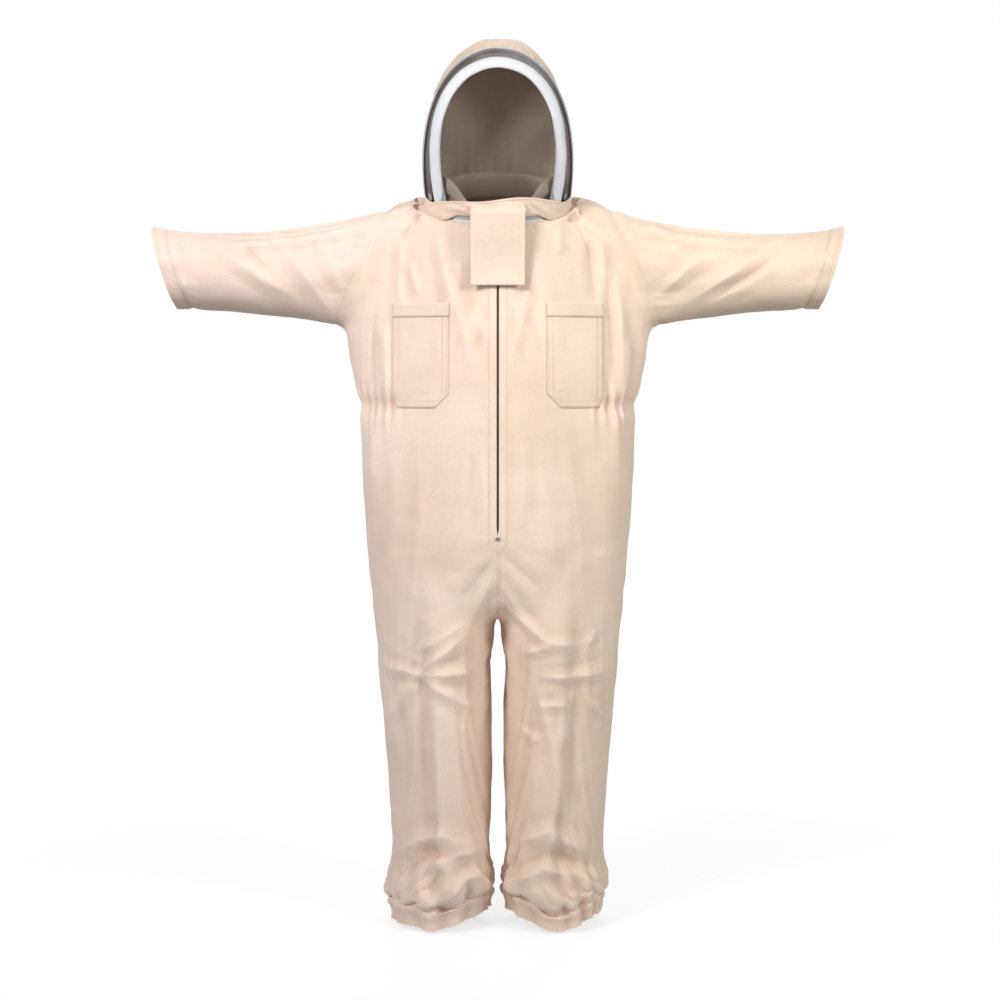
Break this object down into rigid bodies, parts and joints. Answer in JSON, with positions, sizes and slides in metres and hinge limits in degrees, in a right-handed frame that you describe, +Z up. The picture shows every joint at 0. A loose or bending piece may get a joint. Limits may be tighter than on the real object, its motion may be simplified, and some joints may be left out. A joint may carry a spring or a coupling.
{
  "type": "beekeeping suit",
  "caption": "One-piece cream cotton beekeeping coverall with a zipped-on arched veil hood, shown in the shape it takes when worn with both arms out.",
  "frame": {"origin": "centre of the neck zip's circle, where the wearer's neck passes", "axes": "+Z up towards the top of the hood, the front of the suit faces -Y, +X to the wearer's left"},
  "size_m": [1.31, 0.3377, 1.6897],
  "materials": {
    "cotton_twill": "washed cream cotton twill, matt",
    "white_webbing": "white woven webbing and tape",
    "veil_mesh": "black see-through veil mesh",
    "zip_tape": "cream woven zip tape",
    "zip_coil": "moulded polyester coil",
    "zip_metal": "plated zinc and steel",
    "spring_steel": "flat spring steel, sewn in",
    "elastic": "white knitted elastic",
    "hook_and_loop": "hook-and-loop tape"
  },
  "bodies": {
    "coverall": {"front_panel_right": "cotton_twill", "front_panel_left": "cotton_twill", "back_panel": "cotton_twill", "crotch_gusset": "cotton_twill", "waist_elastic": "elastic", "chest_pocket_right": "cotton_twill", "chest_pocket_left": "cotton_twill", "shoulder_right": "cotton_twill", "shoulder_left": "cotton_twill", "thigh_right": "cotton_twill", "thigh_left": "cotton_twill", "neck_band": "cotton_twill", "collar": "cotton_twill", "loop_patch": "hook_and_loop", "main_zip_tape_right": "zip_tape", "main_zip_tape_left": "zip_tape", "main_zip_coil": "zip_coil", "main_zip_end_stops": "zip_metal", "neck_zip_lower_tape": "white_webbing", "neck_zip_lower_coil": "zip_coil"},
    "sleeve_right": {"sleeve_right": "cotton_twill", "cuff_hem_right": "cotton_twill"},
    "sleeve_left": {"sleeve_left": "cotton_twill", "cuff_hem_left": "cotton_twill"},
    "leg_right": {"leg_right": "cotton_twill", "leg_hem_right": "cotton_twill", "ankle_elastic_right": "elastic"},
    "leg_left": {"leg_left": "cotton_twill", "leg_hem_left": "cotton_twill", "ankle_elastic_left": "elastic"},
    "hood": {"hood_back": "cotton_twill", "veil_front": "veil_mesh", "veil_sides": "veil_mesh", "front_hoop_band": "white_webbing", "front_hoop_boning": "spring_steel", "rear_hoop_band": "white_webbing", "rear_hoop_boning": "spring_steel", "hood_skirt": "cotton_twill", "neck_zip_upper_tape": "white_webbing", "neck_zip_upper_coil": "zip_coil"},
    "chest_flap": {"chest_flap": "cotton_twill", "hook_patch": "hook_and_loop"},
    "main_slider": {"main_zip_slider": "zip_metal"},
    "main_pull": {"main_zip_pull": "zip_metal"},
    "neck_slider_right": {"neck_zip_slider_right": "zip_metal"},
    "neck_pull_right": {"neck_zip_pull_right": "zip_metal"},
    "neck_slider_left": {"neck_zip_slider_left": "zip_metal"},
    "neck_pull_left": {"neck_zip_pull_left": "zip_metal"}
  },
  "joints": [
    {"name": "hood_fold", "type": "hinge", "parent": "coverall", "child": "hood", "pos_m": [0, 0.12932, 0.04078], "axis": [-1, 0, 0], "range_deg": [0, 100]},
    {"name": "flap_lift", "type": "hinge", "parent": "hood", "child": "chest_flap", "pos_m": [0, -0.148, -0.028], "axis": [-1, 0, 0], "range_deg": [0, 150]},
    {"name": "main_zip_slide", "type": "slide", "parent": "coverall", "child": "main_slider", "axis": [0, -0.0785, -0.9969], "range_m": [0, 0.54], "deforming": ["main_zip_coil"]},
    {"name": "main_pull_flip", "type": "hinge", "parent": "main_slider", "child": "main_pull", "pos_m": [0, -0.12854, -0.06872], "axis": [-1, 0, 0], "range_deg": [0, 160]},
    {"name": "neck_zip_slide_right", "type": "hinge", "parent": "coverall", "child": "neck_slider_right", "pos_m": [0, 0, 0], "axis": [0, 0.3007, -0.9537], "range_deg": [0, 160], "deforming": ["neck_zip_lower_coil", "neck_zip_upper_coil"]},
    {"name": "neck_pull_flip_right", "type": "hinge", "parent": "neck_slider_right", "child": "neck_pull_right", "pos_m": [-0.0134, -0.13272, -0.04185], "axis": [0, -0.3007, 0.9537], "range_deg": [0, 150]},
    {"name": "neck_zip_slide_left", "type": "hinge", "parent": "coverall", "child": "neck_slider_left", "pos_m": [0, 0, 0], "axis": [0, -0.3007, 0.9537], "range_deg": [0, 160], "deforming": ["neck_zip_lower_coil", "neck_zip_upper_coil"]},
    {"name": "neck_pull_flip_left", "type": "hinge", "parent": "neck_slider_left", "child": "neck_pull_left", "pos_m": [0.0134, -0.13272, -0.04185], "axis": [0, 0.3007, -0.9537], "range_deg": [0, 150]},
    {"name": "shoulder_right", "type": "hinge", "parent": "coverall", "child": "sleeve_right", "pos_m": [-0.275, 0.002, -0.121], "axis": [0, -1, 0], "range_deg": [-20, 65], "deforming": ["shoulder_right"]},
    {"name": "shoulder_left", "type": "hinge", "parent": "coverall", "child": "sleeve_left", "pos_m": [0.275, 0.002, -0.121], "axis": [0, 1, 0], "range_deg": [-20, 65], "deforming": ["shoulder_left"]},
    {"name": "hip_right", "type": "hinge", "parent": "coverall", "child": "leg_right", "pos_m": [-0.128, 0, -0.7], "axis": [-1, 0, 0], "range_deg": [-15, 35], "deforming": ["thigh_right"]},
    {"name": "hip_left", "type": "hinge", "parent": "coverall", "child": "leg_left", "pos_m": [0.128, 0, -0.7], "axis": [-1, 0, 0], "range_deg": [-15, 35], "deforming": ["thigh_left"]}
  ]
}
